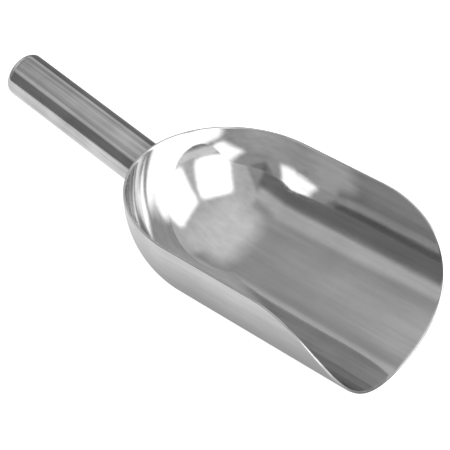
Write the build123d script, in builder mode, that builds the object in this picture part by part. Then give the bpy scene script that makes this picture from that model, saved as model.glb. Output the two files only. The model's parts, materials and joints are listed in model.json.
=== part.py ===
from build123d import *
import os
from math import cos, hypot, radians, sin, sqrt, tan

# Round-bottomed ice scoop in polished stainless steel, built from pressed sheet and thin tube.
#
# The bowl is one pressing: a half-round trough closed at the back by a quarter sphere of the same radius,
# trimmed level at the rim and along a quarter ellipse at the mouth.
# The handle is a round tube, coped to the back of the dome, fillet welded to it and closed by a pressed cap.
#
# Units are millimetres. +X runs from the handle to the mouth, +Z is up, and the scoop is symmetric about Y = 0.
# The origin is under the middle of the overall length and width, on the surface that the bowl rests on.

# Overall
overall_length = 254.0

# Bowl
bowl_radius = 57.0  # outside of the trough and of the dome
bowl_depth = 55.7  # underside to rim
bowl_sheet = 1.2
mouth_reach = 102.0  # dome centre to the lip
mouth_fall = 49.4  # dome centre to where the rim starts to fall towards the lip
rim_round = 0.45  # rounding of both edges of the trimmed sheet

# Handle
tube_radius = 12.5
tube_wall = 0.6
handle_pitch = 11.0  # degrees above level, towards the end of the handle
tube_below_rim = 1.9  # from the rim down to the top of the tube, where the tube meets the dome

# End cap
cap_sheet = 0.8
cap_length = 7.0  # from its open edge to the plane that its rounded edge would touch
cap_edge_radius = 4.2  # outside
cap_crown_radius = 60.0  # outside of the slightly domed end face

# Welds
bead_leg = 1.2  # fillet weld between handle and dome, measured along each of them
seam_width = 1.0  # flush groove weld between tube and cap
seam_depth = 0.45

# Places that follow from the dimensions
dome_x = overall_length / 2 - mouth_reach
dome_centre = Vector(dome_x, 0, bowl_radius)
pitch = radians(handle_pitch)
# Where the tube's top line meets the outside of the dome
top_z = bowl_depth - tube_below_rim
top_x = dome_x - sqrt(bowl_radius**2 - (top_z - bowl_radius) ** 2)
# The rearmost point of the scoop is on the cap's rounded edge, below the handle's axis.
rear_overhang = cap_edge_radius * (1 - cos(pitch)) + (tube_radius - cap_edge_radius) * sin(pitch)
end_x = -overall_length / 2 + rear_overhang
end_z = top_z - tube_radius / cos(pitch) + (top_x - end_x) * tan(pitch)
# The blank of the tube runs on to the middle of the dome, and is then coped.
tube_blank = hypot(end_x - dome_x, end_z - bowl_radius) - cap_length

# Planes across and along the handle, and its axis, all from the end towards the dome
towards_dome = Vector(cos(pitch), 0, -sin(pitch))
end_plane = Plane(origin=(end_x, 0, end_z), x_dir=(0, 1, 0), z_dir=towards_dome)
seam_plane = end_plane.offset(cap_length)
lengthwise = Plane(origin=(end_x, 0, end_z), x_dir=towards_dome, z_dir=(0, -1, 0))
handle_axis = Axis(end_plane.origin, towards_dome)

os.makedirs("parts", exist_ok=True)

# Pressed bowl, open at the top and at the mouth
with BuildPart() as bowl:
    # One half ring is drawn forward into the trough and turned a quarter turn into the dome.
    with BuildSketch(Plane.YZ.offset(dome_x)) as half_ring:
        with Locations((0, bowl_radius)):
            Circle(bowl_radius)
            Circle(bowl_radius - bowl_sheet, mode=Mode.SUBTRACT)
            Rectangle(2 * bowl_radius, bowl_radius, align=(Align.CENTER, Align.MIN), mode=Mode.SUBTRACT)
    extrude(amount=mouth_reach)
    revolve(half_ring.sketch, axis=Axis(dome_centre, (0, 1, 0)), revolution_arc=90)
    # Side profile of what is kept: a level rim, then a quarter ellipse down to the lip
    with BuildSketch(Plane.XZ.offset(-bowl_radius)):
        with BuildLine():
            rear = dome_x - bowl_radius
            mouth = EllipticalCenterArc(
                (dome_x + mouth_fall, 0),
                mouth_reach - mouth_fall,
                bowl_depth,
                start_angle=0,
                arc_size=90,
            )
            Polyline(mouth @ 1, (rear, bowl_depth), (rear, 0), mouth @ 0)
        make_face()
    extrude(amount=2 * bowl_radius, mode=Mode.INTERSECT)
    # Both edges of the cut sheet are rounded; the short edges across it are left alone.
    cut_faces = [f for f in bowl.faces() if f.geom_type in (GeomType.PLANE, GeomType.EXTRUSION)]
    fillet([e for f in cut_faces for e in f.edges() if e.length > 2 * bowl_sheet], radius=rim_round)
bowl.part.label = "bowl"
export_step(bowl.part, "parts/bowl.step")

# Groove weld that joins the cap to the tube, ground flush
with BuildPart() as end_cap_weld:
    with BuildSketch(lengthwise):
        with Locations((cap_length, 0)):
            Polygon(
                (-seam_width / 2, tube_radius),
                (0, tube_radius - seam_depth),
                (seam_width / 2, tube_radius),
                align=None,
            )
    revolve(axis=handle_axis)
end_cap_weld.part.label = "end_cap_weld"
export_step(end_cap_weld.part, "parts/end_cap_weld.step")

# Thin tube, coped to the outside of the dome
with BuildPart() as handle_tube:
    with BuildSketch(seam_plane):
        Circle(tube_radius)
        Circle(tube_radius - tube_wall, mode=Mode.SUBTRACT)
    extrude(amount=tube_blank)
    with Locations(dome_centre):
        Sphere(bowl_radius, mode=Mode.SUBTRACT)
    add(end_cap_weld.part, mode=Mode.SUBTRACT)
handle_tube.part.label = "handle_tube"
export_step(handle_tube.part, "parts/handle_tube.step")

# Pressed cap: skirt, rounded edge and slightly domed face, each tangent to the next
with BuildPart() as handle_end_cap:
    corner = Vector(cap_edge_radius, tube_radius - cap_edge_radius)
    crown_x = corner.X + sqrt((cap_crown_radius - cap_edge_radius) ** 2 - corner.Y**2)
    crown_slope = corner.Y / (cap_crown_radius - cap_edge_radius)
    crown_run = sqrt(1 - crown_slope**2)
    with BuildSketch(lengthwise):
        for inset in (0, cap_sheet):
            edge = cap_edge_radius - inset
            crown = cap_crown_radius - inset
            with BuildLine():
                apex = (crown_x - crown, 0)
                blend = corner + Vector(-crown_run, crown_slope) * edge
                shoulder = corner + Vector(0, edge)
                RadiusArc(apex, blend, crown)
                RadiusArc(blend, shoulder, edge)
                Polyline(shoulder, (cap_length, tube_radius - inset), (cap_length, 0), apex)
            make_face(mode=Mode.ADD if inset == 0 else Mode.SUBTRACT)
    revolve(axis=handle_axis)
    add(end_cap_weld.part, mode=Mode.SUBTRACT)
handle_end_cap.part.label = "handle_end_cap"
export_step(handle_end_cap.part, "parts/handle_end_cap.step")

# Fillet weld round the coped end of the tube: the flat-faced bead that fills the corner between the outsides
with BuildPart() as handle_weld:
    with BuildSketch(seam_plane):
        Circle(tube_radius)
    handle_solid = extrude(amount=tube_blank)
    with Locations(dome_centre):
        dome_solid = Sphere(bowl_radius)
    chamfer(handle_weld.edges().filter_by(GeomType.BSPLINE), length=bead_leg)
    add(handle_solid, mode=Mode.SUBTRACT)
    add(dome_solid, mode=Mode.SUBTRACT)
handle_weld.part.label = "handle_weld"
export_step(handle_weld.part, "parts/handle_weld.step")
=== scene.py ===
"""Ice scoop in polished stainless steel: pieces, finishes, studio and camera, in metres in the CAD frame."""
import json
from math import acos, asin, cos, pi, radians, sin, sqrt, tan

import bmesh
import bpy
from mathutils import Matrix, Vector, noise


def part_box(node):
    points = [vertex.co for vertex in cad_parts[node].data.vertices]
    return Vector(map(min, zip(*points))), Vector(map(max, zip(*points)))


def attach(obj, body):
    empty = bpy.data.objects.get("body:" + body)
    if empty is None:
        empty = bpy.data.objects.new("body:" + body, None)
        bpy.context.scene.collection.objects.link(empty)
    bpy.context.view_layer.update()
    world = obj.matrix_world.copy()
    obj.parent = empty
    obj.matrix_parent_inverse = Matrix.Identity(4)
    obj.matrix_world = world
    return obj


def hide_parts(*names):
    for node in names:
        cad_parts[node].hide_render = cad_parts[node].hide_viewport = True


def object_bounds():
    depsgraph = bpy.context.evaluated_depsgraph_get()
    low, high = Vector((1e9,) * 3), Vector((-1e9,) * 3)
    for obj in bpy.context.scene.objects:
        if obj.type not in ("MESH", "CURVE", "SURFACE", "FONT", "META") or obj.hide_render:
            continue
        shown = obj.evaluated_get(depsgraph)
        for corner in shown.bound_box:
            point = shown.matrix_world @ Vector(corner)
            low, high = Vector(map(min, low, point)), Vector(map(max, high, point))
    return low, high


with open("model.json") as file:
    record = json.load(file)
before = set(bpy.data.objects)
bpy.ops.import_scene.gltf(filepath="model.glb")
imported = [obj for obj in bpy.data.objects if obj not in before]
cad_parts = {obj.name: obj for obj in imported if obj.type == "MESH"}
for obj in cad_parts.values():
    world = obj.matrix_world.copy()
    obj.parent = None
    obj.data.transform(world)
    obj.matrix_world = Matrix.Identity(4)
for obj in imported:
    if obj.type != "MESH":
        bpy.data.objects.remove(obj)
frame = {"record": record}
cad_low, cad_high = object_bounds()
scene = bpy.context.scene

MM = 0.001

# ---------------------------------------------------------------- sizes and places

BOWL_RADIUS = 57.0 * MM  # outside of trough and dome
BOWL_SHEET = 1.2 * MM
RIM_ROUND = 0.45 * MM
MOUTH_REACH = 102.0 * MM  # dome centre to lip
MOUTH_DROP = 52.6 * MM  # length over which the rim falls to the lip
TUBE_WALL = 0.6 * MM
CAP_SHEET = 0.8 * MM
CAP_LENGTH = 7.0 * MM
CAP_EDGE = 4.2 * MM
CAP_CROWN = 60.0 * MM
BEAD_LEG = 1.2 * MM
SEAM_WIDTH = 1.0 * MM
SEAM_DEPTH = 0.45 * MM

_, bowl_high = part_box("bowl")
rim_z = bowl_high.z
dome_centre = Vector((bowl_high.x - MOUTH_REACH, 0, BOWL_RADIUS))
grip = next(m for m in frame["record"]["mounts"] if m["name"] == "handle_grip")
grip_out = Vector(grip["axis"]).normalized()  # along the handle, away from the bowl
TUBE_RADIUS = grip["dims"]["r_mm"] * MM
seam_low, seam_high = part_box("end_cap_weld")
seam_centre = (seam_low + seam_high) / 2
grip_side = Vector((0, 1, 0))
grip_up = grip_side.cross(grip_out)
if grip_up.z < 0:
    grip_up.negate()


# ---------------------------------------------------------------- mesh helpers

MERGE_DISTANCE = 0.002 * MM
SHORTEST_EDGE = 0.001 * MM
SHARP_ANGLE = radians(32)  # edges that turn more than this are not smoothed over


def mesh_piece(name, vertices, faces, replaced, material):
    """A smooth-shaded closed piece that stands for CAD nodes and rides on the one body."""
    mesh = bpy.data.meshes.new(name)
    mesh.from_pydata([tuple(v) for v in vertices], [], faces)
    mesh.validate()
    piece = bpy.data.objects.new(name, mesh)
    scene.collection.objects.link(piece)
    return finish_piece(piece, replaced, material)


def finish_piece(piece, replaced, material):
    work = bmesh.new()
    work.from_mesh(piece.data)
    bmesh.ops.remove_doubles(work, verts=work.verts, dist=MERGE_DISTANCE)
    bmesh.ops.dissolve_degenerate(work, edges=work.edges, dist=SHORTEST_EDGE)
    bmesh.ops.recalc_face_normals(work, faces=work.faces)
    for face in work.faces:
        face.smooth = True
    for edge in work.edges:
        if len(edge.link_faces) == 2 and edge.calc_face_angle() > SHARP_ANGLE:
            edge.smooth = False
    work.to_mesh(piece.data)
    work.free()
    piece.data.materials.append(material)
    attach(piece, "root")
    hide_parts(*replaced)
    return piece


# ---------------------------------------------------------------- bowl

ROWS = 200  # across, from one side of the rim to the other
DOME_STEPS = 84
TROUGH_STEPS = 96
EDGE_STEPS = 5
# Band inside the rim that is rubbed rougher and given a lighter tone, a painted highlight.
WORN_AND_HIGHLIGHTED_EDGE = 1.0 * MM
RIPPLE_DEPTH = 0.03 * MM
RIPPLE_LENGTH = 24 * MM


def ripple(point):
    """How far hand polishing has sunk the sheet here, in metres."""
    p = point / RIPPLE_LENGTH
    slow = noise.noise(p) + 0.35 * noise.noise(p * 2.3 + Vector((7, 3, 1)))
    return RIPPLE_DEPTH * (slow - 1.4)


def bowl_surface(radius):
    """Rows of points on a sphere-ended trough of this radius, trimmed just inside the rim and the mouth."""
    depth = rim_z - RIM_ROUND
    drop = MOUTH_DROP - RIM_ROUND
    mouth_x = dome_centre.x + MOUTH_REACH - MOUTH_DROP
    gap = BOWL_RADIUS - depth  # from the level of the trim up to the dome's centre
    side = acos(gap / radius)
    rows = []
    for i in range(ROWS + 1):
        t = 2 * i / ROWS - 1
        angle = side * (t + 0.6 * sin(pi * t) / pi)
        ring = radius * cos(angle)
        y = radius * sin(angle)
        z = BOWL_RADIUS - ring
        back = acos(min(1.0, gap / ring))
        height = min(1.0, z / depth)
        front_x = mouth_x + drop * sqrt(1 - height * height)
        row = []
        for j in range(DOME_STEPS):
            turn = back * (1 - j / DOME_STEPS)
            row.append(Vector((dome_centre.x - ring * sin(turn), y, BOWL_RADIUS - ring * cos(turn))))
        for j in range(TROUGH_STEPS + 1):
            row.append(Vector((dome_centre.x + (front_x - dome_centre.x) * j / TROUGH_STEPS, y, z)))
        rows.append(row)
    return rows


def outward(point):
    """Unit normal of the bowl's sheet, away from the hollow."""
    centre = Vector((max(point.x, dome_centre.x), 0, BOWL_RADIUS))
    return (point - centre).normalized()


def off_the_edge(point):
    """Unit direction that leaves the sheet across its trimmed edge."""
    mouth_x = dome_centre.x + MOUTH_REACH - MOUTH_DROP
    if point.x <= mouth_x:
        cut = Vector((0, 0, 1))
    else:
        cut = Vector(((point.x - mouth_x) / MOUTH_DROP**2, 0, point.z / rim_z**2)).normalized()
    normal = outward(point)
    return (cut - normal * cut.dot(normal)).normalized()


# The rim's mask: rubbed rougher there, and lighter as a painted highlight.
def edge_wear_and_highlight(point):
    """1 on the trimmed edge of the sheet, falling to 0 at WORN_AND_HIGHLIGHTED_EDGE inside it."""
    mouth_x = dome_centre.x + MOUTH_REACH - MOUTH_DROP
    if point.x <= mouth_x:
        inside = rim_z - point.z
    else:
        share = Vector(((point.x - mouth_x) / MOUTH_DROP, point.z / rim_z))
        slope = Vector((share.x / MOUTH_DROP, share.y / rim_z)).length / share.length
        inside = (1 - share.length) / slope
    return min(1.0, max(0.0, 1 - inside / WORN_AND_HIGHLIGHTED_EDGE))


def boundary(rows):
    """Indices (row, column) once round the trimmed edge."""
    last = len(rows[0]) - 1
    loop = [(i, 0) for i in range(ROWS)]
    loop += [(ROWS, j) for j in range(DOME_STEPS, last)]
    loop += [(i, last) for i in range(ROWS, 0, -1)]
    loop += [(0, j) for j in range(last, DOME_STEPS, -1)]
    return loop


def build_bowl(material):
    outer = bowl_surface(BOWL_RADIUS)
    inner = bowl_surface(BOWL_RADIUS - BOWL_SHEET)
    columns = len(outer[0])
    vertices = []
    for rows in (outer, inner):
        for row in rows:
            for point in row:
                vertices.append(point + outward(point) * ripple(point))
    layer = (ROWS + 1) * columns
    faces = []
    for base in (0, layer):
        for i in range(ROWS):
            for j in range(columns - 1):
                a = base + i * columns + j
                faces.append((a, a + 1, a + columns + 1, a + columns))
    loop = boundary(outer)
    strips = []
    for i, j in loop:
        start = vertices[i * columns + j]
        end = vertices[layer + i * columns + j]
        normal, across = outward(outer[i][j]), off_the_edge(outer[i][j])
        strip = [i * columns + j]
        for k in range(1, EDGE_STEPS + 1):
            turn = pi / 2 * k / EDGE_STEPS
            strip.append(len(vertices))
            vertices.append(start - normal * RIM_ROUND * (1 - cos(turn)) + across * RIM_ROUND * sin(turn))
        for k in range(EDGE_STEPS, 0, -1):
            turn = pi / 2 * k / EDGE_STEPS
            strip.append(len(vertices))
            vertices.append(end + normal * RIM_ROUND * (1 - cos(turn)) + across * RIM_ROUND * sin(turn))
        strip.append(layer + i * columns + j)
        strips.append(strip)
    for a, b in zip(strips, strips[1:] + strips[:1]):
        for k in range(len(a) - 1):
            faces.append((a[k], a[k + 1], b[k + 1], b[k]))
    bowl = mesh_piece("bowl_shell", vertices, faces, ["bowl"], material)
    # Per-vertex mask for the rim's rubbing and its painted highlight.
    wear_and_highlight = bowl.data.attributes.new("edge_wear_and_highlight", "FLOAT", "POINT")
    for vertex in bowl.data.vertices:
        wear_and_highlight.data[vertex.index].value = edge_wear_and_highlight(vertex.co)
    return bowl


# ---------------------------------------------------------------- handle

AROUND = 144
TUBE_RINGS = 70
CAP_SKIRT_STEPS = 4
CAP_EDGE_STEPS = 16
CAP_CROWN_STEPS = 12
SEAM_STEPS = 4
BEAD_STEPS = 8


def round_handle(angle, radius, along):
    """A point at this angle round the handle and this far out from the seam, along the axis."""
    return seam_centre + grip_out * along + (grip_side * cos(angle) + grip_up * sin(angle)) * radius


def cope(angle, radius):
    """How far along the axis this line of the tube meets the outside of the dome."""
    offset = round_handle(angle, radius, 0) - dome_centre
    b = offset.dot(grip_out)
    return -b + sqrt(b * b - offset.length_squared + BOWL_RADIUS**2)


def lathe(profiles):
    """Vertices and faces of a closed piece from one closed profile for each angle round the handle."""
    count = len(profiles[0])
    vertices = [p for profile in profiles for p in profile]
    faces = []
    for a in range(len(profiles)):
        b = (a + 1) % len(profiles)
        for k in range(count):
            n = (k + 1) % count
            faces.append((a * count + k, a * count + n, b * count + n, b * count + k))
    return vertices, faces


def angles():
    return [2 * pi * a / AROUND for a in range(AROUND)]


def build_tube(material):
    profiles = []
    for angle in angles():
        profile = []
        groove = SEAM_WIDTH / 2
        start = cope(angle, TUBE_RADIUS)
        for k in range(TUBE_RINGS + 1):
            profile.append(round_handle(angle, TUBE_RADIUS, start + (-groove - start) * k / TUBE_RINGS))
        profile.append(round_handle(angle, TUBE_RADIUS - SEAM_DEPTH, 0))
        profile.append(round_handle(angle, TUBE_RADIUS - TUBE_WALL, 0))
        profile.append(round_handle(angle, TUBE_RADIUS - TUBE_WALL, cope(angle, TUBE_RADIUS - TUBE_WALL)))
        profiles.append(profile)
    vertices, faces = lathe(profiles)
    return mesh_piece("grip_tube", vertices, faces, ["handle_tube"], material)


def build_cap(material):
    corner_r = TUBE_RADIUS - CAP_EDGE
    corner_x = CAP_LENGTH - CAP_EDGE
    crown_centre = corner_x - sqrt((CAP_CROWN - CAP_EDGE) ** 2 - corner_r**2)
    blend = asin(corner_r / (CAP_CROWN - CAP_EDGE))
    profile = []
    for inset in (0, CAP_SHEET):
        line = [(TUBE_RADIUS - inset, SEAM_WIDTH / 2 if inset == 0 else 0)]
        for k in range(1, CAP_SKIRT_STEPS):
            reach = (corner_x - SEAM_WIDTH / 2) * k / CAP_SKIRT_STEPS
            line.append((TUBE_RADIUS - inset, SEAM_WIDTH / 2 + reach))
        edge = CAP_EDGE - inset
        for k in range(CAP_EDGE_STEPS + 1):
            turn = (pi / 2 - blend) * k / CAP_EDGE_STEPS
            line.append((corner_r + edge * cos(turn), corner_x + edge * sin(turn)))
        crown = CAP_CROWN - inset
        for k in range(1, CAP_CROWN_STEPS + 1):
            turn = blend * (1 - k / CAP_CROWN_STEPS)
            line.append((crown * sin(turn), crown_centre + crown * cos(turn)))
        profile.append(line)
    closed = profile[0] + profile[1][::-1] + [(TUBE_RADIUS - SEAM_DEPTH, 0)]
    vertices, faces = lathe([[round_handle(a, r, x) for r, x in closed] for a in angles()])
    return mesh_piece("grip_end_cap", vertices, faces, ["handle_end_cap"], material)


def build_seam(material):
    closed = [(TUBE_RADIUS - SEAM_DEPTH, 0)]
    for k in range(SEAM_STEPS + 1):
        closed.append((TUBE_RADIUS, SEAM_WIDTH * (k / SEAM_STEPS - 0.5)))
    vertices, faces = lathe([[round_handle(a, r, x) for r, x in closed] for a in angles()])
    return mesh_piece("grip_end_seam", vertices, faces, ["end_cap_weld"], material)


def build_bead(material):
    """Weld bead: a slightly hollow face between a toe on the tube and a toe on the dome."""
    profiles = []
    for angle in angles():
        corner = round_handle(angle, TUBE_RADIUS, cope(angle, TUBE_RADIUS))
        normal = outward(corner)
        radial = (grip_side * cos(angle) + grip_up * sin(angle)).normalized()
        along_dome = (radial - normal * radial.dot(normal)).normalized()
        toe_tube = corner + grip_out * BEAD_LEG
        toe_dome = corner + along_dome * BEAD_LEG
        toe_dome = dome_centre + (toe_dome - dome_centre).normalized() * BOWL_RADIUS
        profile = [corner, toe_tube]
        for k in range(1, BEAD_STEPS):
            s = k / BEAD_STEPS
            flat = toe_tube.lerp(toe_dome, s)
            profile.append(flat.lerp(corner, 0.5 * s * (1 - s)))
        profile.append(toe_dome)
        profiles.append(profile)
    vertices, faces = lathe(profiles)
    return mesh_piece("grip_weld_bead", vertices, faces, ["handle_weld"], material)


# ---------------------------------------------------------------- shader node helpers


def math_node(tree, operation, *values):
    """Adds a Math node on numbers or sockets, and gives its output."""
    node = tree.nodes.new("ShaderNodeMath")
    node.operation = operation
    for socket, value in zip(node.inputs, values):
        if isinstance(value, (int, float)):
            socket.default_value = value
        else:
            tree.links.new(value, socket)
    return node.outputs[0]


def dot_node(tree, vector, axis):
    """Adds a dot product of a socket with a fixed axis or another socket, and gives its output."""
    node = tree.nodes.new("ShaderNodeVectorMath")
    node.operation = "DOT_PRODUCT"
    tree.links.new(vector, node.inputs[0])
    if isinstance(axis, bpy.types.NodeSocket):
        tree.links.new(axis, node.inputs[1])
    else:
        node.inputs[1].default_value = axis
    return node.outputs["Value"]


def range_node(tree, value, low, high, to_low, to_high, smooth=False):
    """Adds a Map Range from low..high to to_low..to_high, held at both ends, and gives its output."""
    node = tree.nodes.new("ShaderNodeMapRange")
    if smooth:
        node.interpolation_type = "SMOOTHSTEP"
    for name, amount in (("From Min", low), ("From Max", high), ("To Min", to_low), ("To Max", to_high)):
        node.inputs[name].default_value = amount
    tree.links.new(value, node.inputs["Value"])
    return node.outputs["Result"]


def noise_node(tree, vector, scale, detail):
    """Adds a noise texture, and gives its 0 to 1 output."""
    node = tree.nodes.new("ShaderNodeTexNoise")
    node.inputs["Scale"].default_value = scale
    node.inputs["Detail"].default_value = detail
    tree.links.new(vector, node.inputs["Vector"])
    return node.outputs["Fac"]


def object_place(tree):
    """X, Y and Z of the shaded point in the scoop's own frame."""
    split = tree.nodes.new("ShaderNodeSeparateXYZ")
    coordinates = tree.nodes.new("ShaderNodeTexCoord")
    tree.links.new(coordinates.outputs["Object"], split.inputs[0])
    return split.outputs["X"], split.outputs["Y"], split.outputs["Z"]


# ---------------------------------------------------------------- materials


class Steel:
    """A stainless steel finish put together from nodes. Sizes of grain are in metres."""

    def __init__(self, name, tone, roughness, centre=(0, 0, 0), droop=0.0, haze_width=5 * MM):
        self.material = bpy.data.materials.new(name)
        self.material.use_nodes = True
        self.tree = self.material.node_tree
        self.shader = self.tree.nodes["Principled BSDF"]
        self.shader.inputs["Metallic"].default_value = 1.0
        self.place = self.tree.nodes.new("ShaderNodeTexCoord").outputs["Object"]
        self.centre = centre
        self.droop = droop
        self.normal = None
        cloud = self.noise((22 * MM, 22 * MM, 22 * MM), 3)
        haze = self.noise((40 * MM, haze_width, haze_width), 4)
        both = math_node(self.tree, "ADD", cloud, haze)
        self.tone = range_node(self.tree, both, 0.7, 1.3, *tone)
        self.roughness = range_node(self.tree, both, 0.7, 1.3, *roughness)

    def grain(self, size, turn=None):
        """Object coordinates measured in grains of this size, turned with the handle or by turn."""
        mapping = self.tree.nodes.new("ShaderNodeMapping")
        mapping.vector_type = "TEXTURE"
        mapping.inputs["Scale"].default_value = size
        if turn:
            mapping.inputs["Rotation"].default_value = turn
        else:
            mapping.inputs["Location"].default_value = self.centre
            mapping.inputs["Rotation"].default_value = (0, self.droop, 0)
        self.tree.links.new(self.place, mapping.inputs["Vector"])
        return mapping.outputs["Vector"]

    def noise(self, size, detail):
        return noise_node(self.tree, self.grain(size), 1.0, detail)

    def rings(self, size):
        """Noise that changes only along the handle's axis and away from it, as a lathe leaves it."""
        split = self.tree.nodes.new("ShaderNodeSeparateXYZ")
        self.tree.links.new(self.grain((size, size, size)), split.inputs[0])
        squares = [math_node(self.tree, "POWER", split.outputs[axis], 2.0) for axis in ("Y", "Z")]
        radius = math_node(self.tree, "SQRT", math_node(self.tree, "ADD", *squares))
        line = self.tree.nodes.new("ShaderNodeCombineXYZ")
        self.tree.links.new(radius, line.inputs["X"])
        self.tree.links.new(split.outputs["X"], line.inputs["Y"])
        return noise_node(self.tree, line.outputs[0], 1.0, 3)

    def along_x(self, start, end):
        """0 before start and 1 after end, along the bowl."""
        return range_node(self.tree, object_place(self.tree)[0], start, end, 0.0, 1.0)

    def mix(self, amount, a, b):
        """From a to b by a 0 to 1 amount."""
        node = self.tree.nodes.new("ShaderNodeMix")
        self.tree.links.new(amount, node.inputs["Factor"])
        self.tree.links.new(a, node.inputs["A"])
        if isinstance(b, float):
            node.inputs["B"].default_value = b
        else:
            self.tree.links.new(b, node.inputs["B"])
        return node.outputs["Result"]

    def raise_by(self, height, value):
        """Puts a height map of this full height, in metres, on the surface."""
        bump = self.tree.nodes.new("ShaderNodeBump")
        bump.inputs["Distance"].default_value = height
        self.tree.links.new(value, bump.inputs["Height"])
        if self.normal:
            self.tree.links.new(self.normal, bump.inputs["Normal"])
        self.normal = bump.outputs["Normal"]

    def worn_and_highlighted(self, amount, tone, roughness):
        """Takes tone and roughness towards the given ones by a 0 to 1 amount: rougher where rubbed, and a
        lighter tone that is a painted highlight.
        """
        self.tone = self.mix(amount, self.tone, tone)
        self.roughness = self.mix(amount, self.roughness, roughness)

    def scratches(self, size, turn):
        """Thin stray lines, 0 to 1, crossing the grain at this angle."""
        lines = noise_node(self.tree, self.grain(size, turn), 1.0, 0)
        return range_node(self.tree, lines, 0.72, 0.8, 0.0, 1.0)

    def finish(self):
        self.tree.links.new(self.tone, self.shader.inputs["Base Color"])
        self.tree.links.new(self.roughness, self.shader.inputs["Roughness"])
        self.tree.links.new(self.normal, self.shader.inputs["Normal"])
        return self.material


def bowl_finish():
    """Mirror-polished sheet: lines lengthwise in the trough and level in the dome, and an edge rubbed
    rougher, with a lighter tone there that is a painted highlight.
    """
    steel = Steel("bowl_steel", (0.56, 0.67), (0.03, 0.09), haze_width=2.5 * MM)
    lengthwise = steel.noise((45 * MM, 0.9 * MM, 0.9 * MM), 4)
    level = steel.noise((35 * MM, 35 * MM, 1.2 * MM), 1)
    fainter = range_node(steel.tree, level, 0.0, 1.0, 0.3, 0.7)
    trough = steel.along_x(dome_centre.x - 20 * MM, dome_centre.x + 12 * MM)
    steel.raise_by(0.004 * MM, steel.mix(trough, fainter, lengthwise))
    steel.raise_by(0.01 * MM, steel.noise((9 * MM, 7 * MM, 7 * MM), 1))
    for turn in ((0.1, 0.5, 0.35), (0.8, 0.2, -0.6)):
        lines = steel.scratches((14 * MM, 0.25 * MM, 0.25 * MM), turn)
        steel.raise_by(-0.003 * MM, math_node(steel.tree, "MULTIPLY", lines, trough))
    # The rim, in patches: rougher where rubbed, and a lighter tone, which is a painted highlight.
    edge = steel.tree.nodes.new("ShaderNodeAttribute")
    edge.attribute_name = "edge_wear_and_highlight"
    patches = range_node(steel.tree, steel.noise((6 * MM, 6 * MM, 6 * MM), 3), 0.3, 0.7, 0.3, 1.0)
    steel.worn_and_highlighted(math_node(steel.tree, "MULTIPLY", edge.outputs["Fac"], patches), 0.7, 0.2)
    return steel.finish()


def streaked(name, tone, roughness):
    """Steel with the long streaks that the polishing belt leaves along the handle."""
    steel = Steel(name, tone, roughness, seam_centre, asin(grip_out.z), 1.1 * MM)
    steel.raise_by(0.012 * MM, steel.noise((90 * MM, 1.6 * MM, 1.6 * MM), 4))
    return steel


def handle_finish():
    steel = streaked("handle_steel", (0.44, 0.7), (0.06, 0.13))
    steel.raise_by(0.002 * MM, steel.noise((20 * MM, 0.3 * MM, 0.3 * MM), 2))
    steel.raise_by(-0.003 * MM, steel.scratches((12 * MM, 0.25 * MM, 0.25 * MM), (0.3, 0.5, 0.5)))
    return steel.finish()


def cap_finish():
    """End cap: the handle's streaks, over fine rings from turning it round its axis."""
    steel = streaked("cap_steel", (0.44, 0.7), (0.06, 0.13))
    steel.raise_by(0.0015 * MM, steel.rings(0.4 * MM))
    return steel.finish()


def seam_finish():
    """Seam ground flush and polished with the tube, a trace duller."""
    steel = streaked("seam_steel", (0.43, 0.69), (0.08, 0.15))
    steel.raise_by(0.002 * MM, steel.noise((0.3 * MM, 2 * MM, 2 * MM), 2))
    return steel.finish()


def weld_finish():
    """Weld metal, dressed and polished but duller than the sheet."""
    steel = Steel("weld_steel", (0.5, 0.6), (0.12, 0.22), seam_centre, asin(grip_out.z))
    steel.raise_by(0.01 * MM, steel.noise((0.8 * MM, 0.8 * MM, 0.8 * MM), 3))
    steel.raise_by(0.004 * MM, steel.rings(0.25 * MM))
    return steel.finish()


# ---------------------------------------------------------------- studio

# The steel shows little but the studio round it, which is laid out alike on both sides of the scoop.
# Its soft-edged panels face the scoop, and later ones cover earlier ones. Angles and sizes are in degrees:
# what it is, azimuth from straight ahead, elevation, width, height, edge softness, brightness.
MIDDLE_PANELS = [
    ("pale wall ahead", 0, 35, 120, 90, 20, 0.65),
    ("soft box overhead", 0, 80, 70, 50, 30, 0.8),
    ("soft box behind the handle", 180, 30, 50, 30, 12, 0.9),
]
SIDE_PANELS = [
    ("window light", 25, 20, 35, 40, 12, 3.0),
    ("fill card", 110, 38, 50, 15, 8, 0.6),
    ("dark flag", 105, 15, 50, 30, 8, 0.2),
]
OPEN_STUDIO = 0.4  # brightness where there is no panel
UNDER_THE_TABLE = 0.2
UNEVEN_LIGHT = (0.9, 1.1)  # slow drift of the brightness over the whole studio


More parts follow.
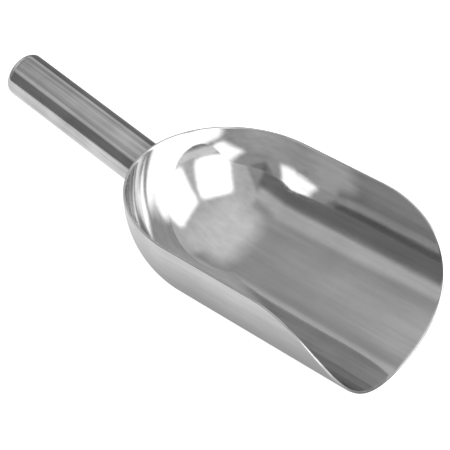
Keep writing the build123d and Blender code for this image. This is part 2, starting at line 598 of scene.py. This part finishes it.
def panel_group():
    """Node group: takes a brightness to a panel's own where the direction falls on the panel."""
    group = bpy.data.node_groups.new("soft_panel", "ShaderNodeTree")
    for name in ("Direction", "Middle", "Across", "Upright"):
        group.interface.new_socket(name, in_out="INPUT", socket_type="NodeSocketVector")
    for name in ("Before", "Half Width", "Half Height", "Softness", "Brightness"):
        group.interface.new_socket(name, in_out="INPUT", socket_type="NodeSocketFloat")
    group.interface.new_socket("After", in_out="OUTPUT", socket_type="NodeSocketFloat")
    given = group.nodes.new("NodeGroupInput").outputs
    result = group.nodes.new("NodeGroupOutput").inputs
    facing = dot_node(group, given["Direction"], given["Middle"])
    mask = math_node(group, "GREATER_THAN", facing, 0.0)
    safe = math_node(group, "MAXIMUM", facing, 0.0001)
    for axis, half in (("Across", "Half Width"), ("Upright", "Half Height")):
        off = math_node(group, "ABSOLUTE", dot_node(group, given["Direction"], given[axis]))
        off = math_node(group, "DIVIDE", off, safe)
        inside = math_node(group, "SUBTRACT", given[half], off)
        inside = math_node(group, "DIVIDE", inside, given["Softness"])
        covered = range_node(group, inside, -0.5, 0.5, 0.0, 1.0, smooth=True)
        mask = math_node(group, "MULTIPLY", mask, covered)
    change = math_node(group, "SUBTRACT", given["Brightness"], given["Before"])
    change = math_node(group, "MULTIPLY", mask, change)
    group.links.new(math_node(group, "ADD", given["Before"], change), result["After"])
    return group


class Studio:
    """The world shader: a brightness for each direction, built up panel by panel."""

    def __init__(self):
        world = bpy.data.worlds.new("studio")
        world.use_nodes = True
        scene.world = world
        self.tree = world.node_tree
        self.group = panel_group()
        self.direction = self.tree.nodes.new("ShaderNodeTexCoord").outputs["Generated"]
        height = dot_node(self.tree, self.direction, (0, 0, 1))
        self.level = range_node(self.tree, height, -0.02, 0.02, UNDER_THE_TABLE, OPEN_STUDIO)

    def add(self, label, azimuth, elevation, width, height, softness, brightness):
        az, el = radians(azimuth), radians(elevation)
        middle = Vector((cos(az) * cos(el), sin(az) * cos(el), sin(el)))
        across = Vector((-sin(az), cos(az), 0))
        node = self.tree.nodes.new("ShaderNodeGroup")
        node.node_tree = self.group
        node.label = label
        self.tree.links.new(self.direction, node.inputs["Direction"])
        self.tree.links.new(self.level, node.inputs["Before"])
        node.inputs["Middle"].default_value = middle
        node.inputs["Across"].default_value = across
        node.inputs["Upright"].default_value = middle.cross(across)
        node.inputs["Half Width"].default_value = tan(radians(width / 2))
        node.inputs["Half Height"].default_value = tan(radians(height / 2))
        node.inputs["Softness"].default_value = tan(radians(softness))
        node.inputs["Brightness"].default_value = brightness
        self.level = node.outputs["After"]

    def light(self):
        """Makes the light a little uneven, and shines it on the scene."""
        uneven = noise_node(self.tree, self.direction, 4.0, 3.0)
        drift = range_node(self.tree, uneven, 0.25, 0.75, *UNEVEN_LIGHT)
        background = self.tree.nodes["Background"]
        background.inputs["Color"].default_value = (1, 1, 1, 1)
        strength = math_node(self.tree, "MULTIPLY", self.level, drift)
        self.tree.links.new(strength, background.inputs["Strength"])


def build_studio():
    studio = Studio()
    for panel in MIDDLE_PANELS:
        studio.add(*panel)
    for side in (1, -1):
        for label, azimuth, *shape in SIDE_PANELS:
            studio.add(label, side * azimuth, *shape)
    studio.light()


def glowing(name, diffuse, glow):
    material = bpy.data.materials.new(name)
    material.use_nodes = True
    shader = material.node_tree.nodes["Principled BSDF"]
    shader.inputs["Base Color"].default_value = (diffuse, diffuse, diffuse, 1)
    shader.inputs["Roughness"].default_value = 0.9
    shader.inputs["Specular IOR Level"].default_value = 0.0
    shader.inputs["Emission Color"].default_value = (1, 1, 1, 1)
    shader.inputs["Emission Strength"].default_value = glow
    return material


def shape_glow(material, strength):
    """Lets the glow of a stage sheet change over the sheet."""
    tree = material.node_tree
    tree.links.new(strength, tree.nodes["Principled BSDF"].inputs["Emission Strength"])


def stage_piece(name, vertices, faces, material, seen_by):
    """A part of the stage that only some kinds of ray see."""
    mesh = bpy.data.meshes.new(name)
    mesh.from_pydata(vertices, [], faces)
    mesh.materials.append(material)
    piece = bpy.data.objects.new(name, mesh)
    scene.collection.objects.link(piece)
    for ray in ("camera", "diffuse", "glossy", "shadow", "transmission"):
        setattr(piece, "visible_" + ray, ray in seen_by)


def stage_sheet(name, corners, material, seen_by):
    stage_piece(name, corners, [tuple(range(len(corners)))], material, seen_by)


def on_floor(half_length, half_width):
    """Corners of a rectangle on the floor, round the origin."""
    signs = ((-1, -1), (1, -1), (1, 1), (-1, 1))
    return [(x * half_length, y * half_width, 0) for x, y in signs]


FLOOR_HALF = 4  # metres


def build_floor():
    """The plain pale floor, which the steel doesn't mirror."""
    material = glowing("floor", 0.8, 0.8)
    stage_sheet("floor", on_floor(FLOOR_HALF, FLOOR_HALF), material, ("camera", "diffuse"))


TABLE_HALF = (0.6, 0.2)  # metres, along and across the scoop
TABLE_PAINTED_SHADOW = (0.01, 0.09)  # painted shadow round the scoop: darkest out to this far, fading to none by this far
TABLE_GLOW = (0.15, 0.9)  # glow of the table beside the scoop, where it is darkened as painted shadow, and in the open


def build_table_top():
    """The pale table top that the steel mirrors: a glowing sheet with a shadow painted into its glow round
    the scoop, where a real one would be shaded.
    """
    material = glowing("table_top_with_painted_shadow", 0, 1)
    tree = material.node_tree
    x, y, _ = object_place(tree)
    half_length = (cad_high[0] - dome_centre.x) / 2
    middle = dome_centre.x + half_length
    from_middle = math_node(tree, "ABSOLUTE", math_node(tree, "SUBTRACT", x, middle))
    past_ends = math_node(tree, "SUBTRACT", from_middle, half_length)
    past_ends = math_node(tree, "MAXIMUM", past_ends, 0.0)
    squares = [math_node(tree, "POWER", offset, 2.0) for offset in (past_ends, y)]
    distance = math_node(tree, "SQRT", math_node(tree, "ADD", *squares))
    # The painted shadow: the glow drops near the scoop.
    shape_glow(material, range_node(tree, distance, *TABLE_PAINTED_SHADOW, *TABLE_GLOW))
    stage_sheet("table_top_with_painted_shadow", on_floor(*TABLE_HALF), material, ("glossy",))


BACKDROP_RADIUS = 3  # metres
BACKDROP_BANDS = 24


def build_backdrop():
    """A white dome round the stage, seen by the camera only."""
    radius, bands = BACKDROP_RADIUS, BACKDROP_BANDS
    vertices, faces = [], []
    for k in range(bands // 2 + 1):
        level = pi * k / bands
        for m in range(2 * bands):
            turn = pi * m / bands
            flat = radius * cos(level)
            vertices.append((flat * cos(turn), flat * sin(turn), radius * sin(level)))
    for k in range(bands // 2):
        for m in range(2 * bands):
            low, high, n = k * 2 * bands, (k + 1) * 2 * bands, (m + 1) % (2 * bands)
            faces.append((low + m, low + n, high + n, high + m))
    stage_piece("backdrop", vertices, faces, glowing("backdrop", 0, 1.0), ("camera",))


# ---------------------------------------------------------------- camera

CAMERA_SIDE = 35.07  # degrees from straight out at -Y, towards the mouth
CAMERA_RISE = 39.45
CAMERA_ROLL = 4.9
CAMERA_DISTANCE = 0.6126
CAMERA_SENSOR = 36
CAMERA_LENS = 99.86
CAMERA_AIM = Vector((2.34, -12.77, -11.29)) * MM  # from the dome's centre, at the height of the rim


def build_camera():
    side, rise, roll = radians(CAMERA_SIDE), radians(CAMERA_RISE), radians(CAMERA_ROLL)
    back = Vector((sin(side) * cos(rise), -cos(side) * cos(rise), sin(rise)))
    target = Vector((dome_centre.x, 0, rim_z)) + CAMERA_AIM
    right = (-back).cross(Vector((0, 0, 1))).normalized()
    up = right.cross(-back)
    turned_right = right * cos(roll) + up * sin(roll)
    turned_up = up * cos(roll) - right * sin(roll)
    camera = bpy.data.objects.new("camera", bpy.data.cameras.new("camera"))
    camera.data.lens = CAMERA_LENS
    camera.data.sensor_width = CAMERA_SENSOR
    camera.data.clip_start = 0.01
    place = Matrix((turned_right, turned_up, back)).transposed().to_4x4()
    place.translation = target + back * CAMERA_DISTANCE
    camera.matrix_world = place
    scene.collection.objects.link(camera)
    scene.camera = camera


build_camera()
build_bowl(bowl_finish())
build_tube(handle_finish())
build_cap(cap_finish())
build_seam(seam_finish())
build_bead(weld_finish())
build_studio()
build_floor()
build_table_top()
build_backdrop()
scene.view_settings.view_transform = "Standard"
scene.cycles.glossy_bounces = 12  # light goes round the inside of the dome many times
scene.cycles.max_bounces = 14
